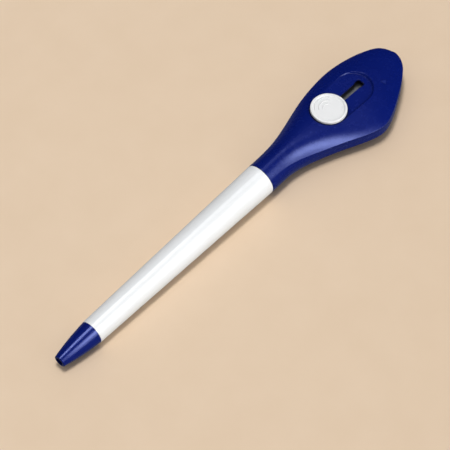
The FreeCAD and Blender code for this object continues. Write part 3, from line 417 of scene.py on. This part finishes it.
# Arrow mark. A small triangle that stands 0.1 mm proud of the upper shell beyond the recess and points to
# the blade's mouth. It is moulded with the shell, so it follows the crown, with a duller face.
MARK_CORNERS = ((20.1, -4.6), (21.8, -5.4), (20.5, -6.5))
MARK_PROUD = 0.10 * MM
MARK_SUNK = 0.15 * MM
MARK_STEPS = 8
MARK_SKY = 1.0
# Painted light: the mark's navy is lighter than the shell's, though it is the same plastic, so that its
# raised face reads lit.
MARK_LIT_NAVY = (0.0025, 0.0125, 0.165, 1.0)
MARK_LIT_NAVY_LIGHT = (0.0030, 0.0140, 0.175, 1.0)
crown = node["head_upper_shell"]
button_low, button_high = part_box("slide_button")
button_middle = (button_low + button_high) / 2


def on_crown(across, along):
    """The point of the upper shell's top above this place, counted from the button's middle."""
    above = Vector((button_middle.x + across * MM, button_middle.y + along * MM, MARK_SKY))
    return crown.ray_cast(above, Vector((0, 0, -1)))[1]


shaping = bmesh.new()
first, second, third = (Vector(corner) for corner in MARK_CORNERS)
rows = []
for step in range(MARK_STEPS + 1):
    left = first.lerp(second, step / MARK_STEPS)
    right = first.lerp(third, step / MARK_STEPS)
    row = []
    for side in range(step + 1):
        spot = left.lerp(right, side / step) if step else left
        row.append(shaping.verts.new(on_crown(*spot) + Vector((0, 0, MARK_PROUD))))
    rows.append(row)
for upper, lower in zip(rows, rows[1:]):
    for side, corner in enumerate(upper):
        shaping.faces.new((corner, lower[side], lower[side + 1]))
        if side:
            shaping.faces.new((upper[side - 1], lower[side], corner))
rim = [edge for edge in shaping.edges if edge.is_boundary]
skirt = bmesh.ops.extrude_edge_only(shaping, edges=rim)["geom"]
for part in skirt:
    if isinstance(part, bmesh.types.BMVert):
        part.co.z -= MARK_SUNK
bmesh.ops.holes_fill(shaping, edges=[edge for edge in shaping.edges if edge.is_boundary], sides=0)
bmesh.ops.recalc_face_normals(shaping, faces=shaping.faces)
mark_mesh = bpy.data.meshes.new("arrow_mark")
shaping.to_mesh(mark_mesh)
shaping.free()
mark_lit_navy = moulded_plastic("navy_mark_painted_lit", MARK_LIT_NAVY, MARK_LIT_NAVY_LIGHT, 0.42, 0.08, seed=0.9)
pearly(mark_lit_navy)
mark_mesh.materials.append(mark_lit_navy)
mark = piece_from(mark_mesh, "arrow_mark")
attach(mark, "head")


# Slide button. A white moulded disc with a rounded rim, a shallow dish and three low grip ridges, snapped
# on the carrier below it.
BUTTON = (0.68, 0.68, 0.68, 1.0)
BUTTON_SHADE = (0.64, 0.64, 0.64, 1.0)
BUTTON_EDGE = 0.10 * MM

button_white = moulded_plastic("white_button", BUTTON, BUTTON_SHADE, 0.26, 0.10, edge=BUTTON_EDGE, seed=7.1)
finish_with(button_white, "slide_button")


# Blade and carrier. The opener is a thin stamped steel point, ground along its edges and riveted to a grey
# moulded carrier that runs between the ribs of the head.
GRINDING = (0.05, 1.0, 1.0)
BLADE_SHADE_REACH = 3.0 * MM
BLADE_SHADE_LEVEL = 0.30

carrier_grey = moulded_plastic("grey_carrier", GREY, GREY_PALE, 0.36, 0.30, seed=9.4, rough_spread=0.10)
finish_with(carrier_grey, "blade_carrier")
blade_steel = worked_metal("blade_steel", STEEL, STEEL_DARK, 0.36, 1400.0, GRINDING, 300.0, 0.3)
# Painted shade: the steel's base colour is darkened inside the slot and under the carrier, where little
# light reaches.
painted_crease_shade(blade_steel, BLADE_SHADE_REACH, BLADE_SHADE_LEVEL)
finish_with(blade_steel, "opener_blade")


# Floor, light and camera. A plain pale table top under soft studio boxes, seen from above the nose end
# through a long lens. The table and the room show in the gloss only as two even levels.
FLOOR = (0.85, 0.65, 0.46, 1.0)
FLOOR_SECOND = (0.87, 0.67, 0.48, 1.0)
FLOOR_REACH = 3.0
FLOOR_SIDES = 64
ROOM_LEVEL = 0.31
ROOM_MIRRORED = 0.01
TABLE_MIRRORED = 0.16
VIEW_AZIMUTH = math.radians(-47.14)
VIEW_ELEVATION = math.radians(56.2)
VIEW_DISTANCE = 0.6993
VIEW_LENS = 177.9
VIEW_SENSOR = 36.0
SKY = (0.95, 0.97, 1.0, 1.0)
SKYLINE = 0.05
VIEW_AIM = Vector((pen_point.x - 17.67 * MM, pen_point.y - 1.11 * MM, 0.0))

floor_mesh = bpy.data.meshes.new("floor")
shaping = bmesh.new()
bmesh.ops.create_circle(shaping, cap_ends=True, segments=FLOOR_SIDES, radius=FLOOR_REACH)
shaping.to_mesh(floor_mesh)
shaping.free()
floor = piece_from(floor_mesh, "floor")
floor_paint = moulded_plastic("pale_floor", FLOOR, FLOOR_SECOND, 0.75, 0.0, seed=3.3)
floor_mesh.materials.append(floor_paint)
floor.visible_glossy = False


def soft_box(name, direction, distance, width, depth, power, glossy=True, diffuse=True):
    """A rectangular lamp that hangs in this direction from the middle of the pen and faces it."""
    lamp = bpy.data.lights.new(name, "AREA")
    lamp.shape = "RECTANGLE"
    lamp.size = width
    lamp.size_y = depth
    lamp.energy = power
    hung = bpy.data.objects.new(name, lamp)
    bpy.context.scene.collection.objects.link(hung)
    away = Vector(direction).normalized()
    hung.location = away * distance
    hung.rotation_euler = away.to_track_quat("Z", "X").to_euler()
    hung.visible_glossy = glossy
    hung.visible_diffuse = diffuse
    return hung


# Each lamp: direction from the pen, distance and two sides in metres, watts, and what it lights.
soft_box("key_box", (-0.04, 0.03, 0.999), 1.0, 0.16, 0.24, 5.0, glossy=False)
soft_box("fill_box", (-0.10, 0.10, 0.99), 1.4, 1.6, 1.6, 2.6, glossy=False)
soft_box("top_box", (0.0, 0.17, 0.98), 0.9, 0.25, 0.56, 3.4, diffuse=False)
side_core = soft_box("side_core", (0.12, -0.70, 0.69), 0.8, 0.30, 0.32, 1.5, diffuse=False)
side_box = soft_box("side_box", (0.13, -0.78, 0.62), 0.8, 0.64, 0.50, 3.4)
side_key = soft_box("side_key", (0.05, -0.97, 0.20), 1.0, 0.60, 0.60, 5.0, glossy=False)
far_key = soft_box("far_key", (-0.10, 0.93, 0.36), 1.0, 0.60, 0.60, 1.3, glossy=False)

# The lamps at the sides are for the pen alone, so that only the overhead ones cast its shadow.
off_floor = bpy.data.collections.new("off_floor")
off_floor.objects.link(floor)
off_floor.collection_objects[0].light_linking.link_state = "EXCLUDE"
for lamp in (side_core, side_box, side_key, far_key):
    lamp.light_linking.receiver_collection = off_floor

world = bpy.data.worlds.new("studio")
bpy.context.scene.world = world
world.use_nodes = True
sky = world.node_tree
sky.nodes["Background"].inputs["Color"].default_value = SKY
ray = add(sky, "ShaderNodeLightPath", (-500, 0))
compass = add(sky, "ShaderNodeTexCoord", (-1000, -250))
parts = add(sky, "ShaderNodeSeparateXYZ", (-800, -250))
mirrored = add(sky, "ShaderNodeMapRange", (-600, -250))
mirrored.inputs["From Min"].default_value = -SKYLINE
mirrored.inputs["From Max"].default_value = SKYLINE
mirrored.inputs["To Min"].default_value = TABLE_MIRRORED
mirrored.inputs["To Max"].default_value = ROOM_MIRRORED
level = add(sky, "ShaderNodeMapRange", (-250, 0))
level.inputs["To Min"].default_value = ROOM_LEVEL
sky.links.new(compass.outputs["Generated"], parts.inputs["Vector"])
sky.links.new(parts.outputs["Z"], mirrored.inputs["Value"])
sky.links.new(mirrored.outputs["Result"], level.inputs["To Max"])
sky.links.new(ray.outputs["Is Glossy Ray"], level.inputs["Value"])
sky.links.new(level.outputs["Result"], sky.nodes["Background"].inputs["Strength"])

looking = bpy.data.cameras.new("camera")
looking.lens = VIEW_LENS
looking.sensor_width = VIEW_SENSOR
camera = bpy.data.objects.new("camera", looking)
bpy.context.scene.collection.objects.link(camera)
outward = Vector((math.cos(VIEW_ELEVATION) * math.sin(VIEW_AZIMUTH),
                  -math.cos(VIEW_ELEVATION) * math.cos(VIEW_AZIMUTH),
                  math.sin(VIEW_ELEVATION)))
camera.location = VIEW_AIM + outward * VIEW_DISTANCE
camera.rotation_euler = outward.to_track_quat("Z", "Y").to_euler()
bpy.context.scene.camera = camera
bpy.context.scene.view_settings.view_transform = "Standard"
